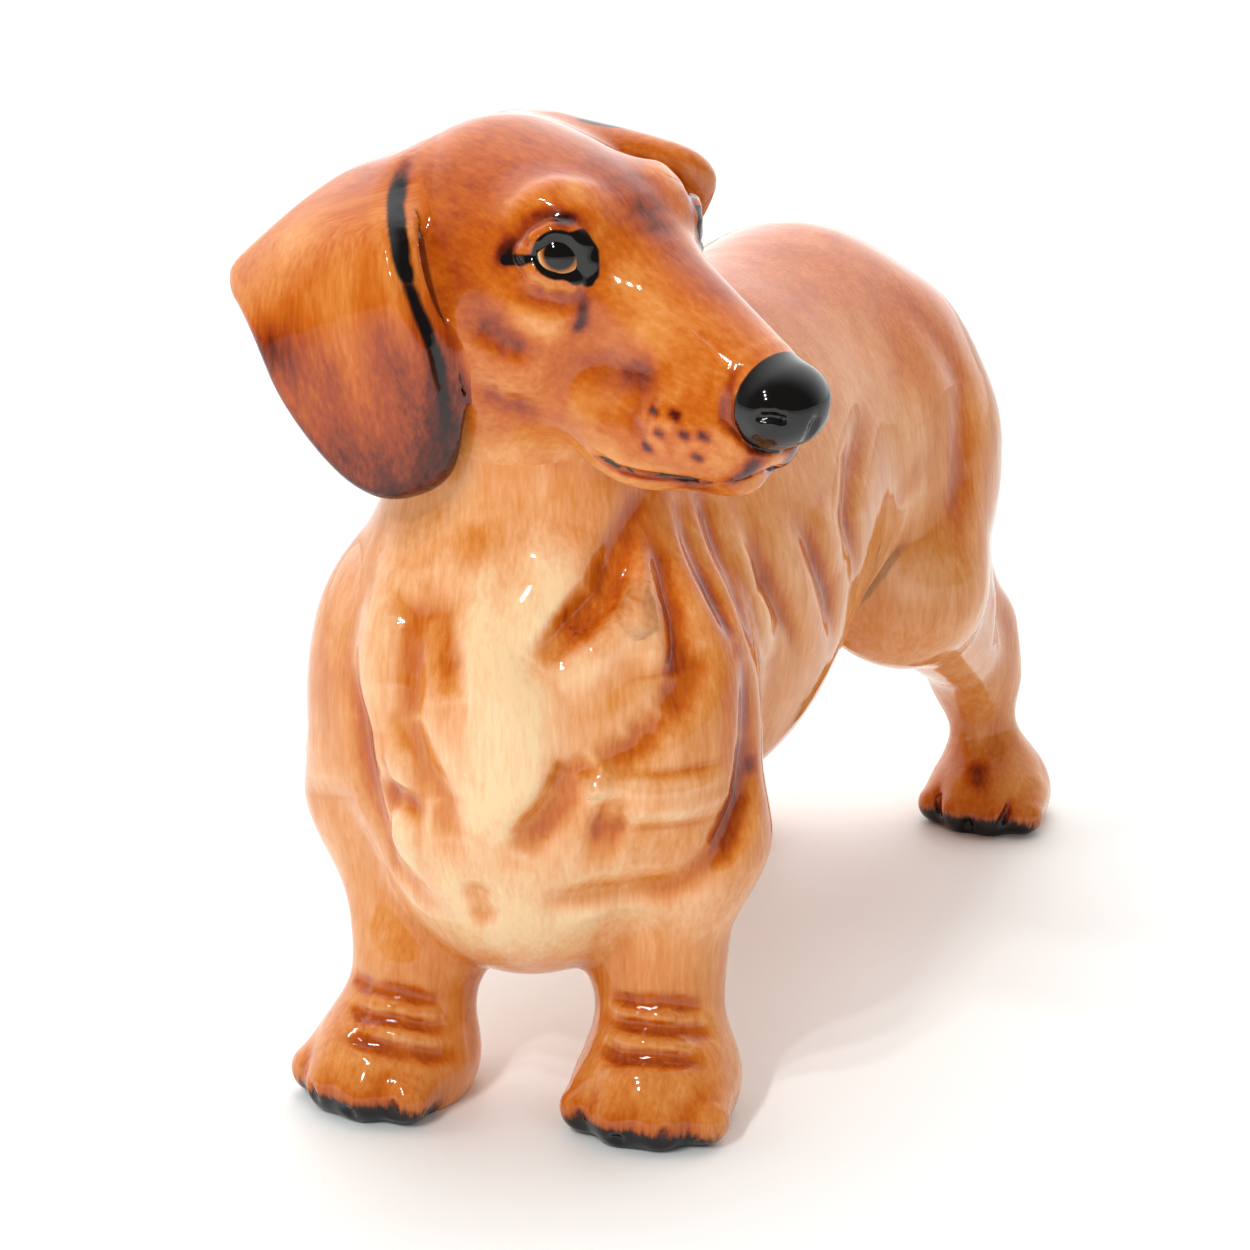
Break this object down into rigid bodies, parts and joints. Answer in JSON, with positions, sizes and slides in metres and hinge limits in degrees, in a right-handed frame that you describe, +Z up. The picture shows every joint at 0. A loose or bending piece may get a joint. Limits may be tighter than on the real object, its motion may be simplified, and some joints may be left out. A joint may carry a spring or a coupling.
{
  "type": "dog figurine",
  "caption": "Glazed ceramic figurine of a standing short-legged hound with long drooping ears, head turned to its left and tail hanging",
  "frame": {"origin": "on the table, under the middle of the figurine's bounding box", "axes": "+Z up, the dog's chest faces -Y, its left side is +X"},
  "size_m": [0.0654, 0.1288, 0.1053],
  "materials": {
    "brown_glaze": "high gloss clear glaze over brushed brown, cream and black underglaze",
    "ear_glaze": "high gloss clear glaze over mahogany underglaze"
  },
  "bodies": {
    "root": {"trunk": "brown_glaze", "head": "brown_glaze", "left_ear": "ear_glaze", "right_ear": "ear_glaze", "left_foreleg": "brown_glaze", "right_foreleg": "brown_glaze", "left_hind_leg": "brown_glaze", "right_hind_leg": "brown_glaze", "tail": "brown_glaze"}
  },
  "joints": []
}
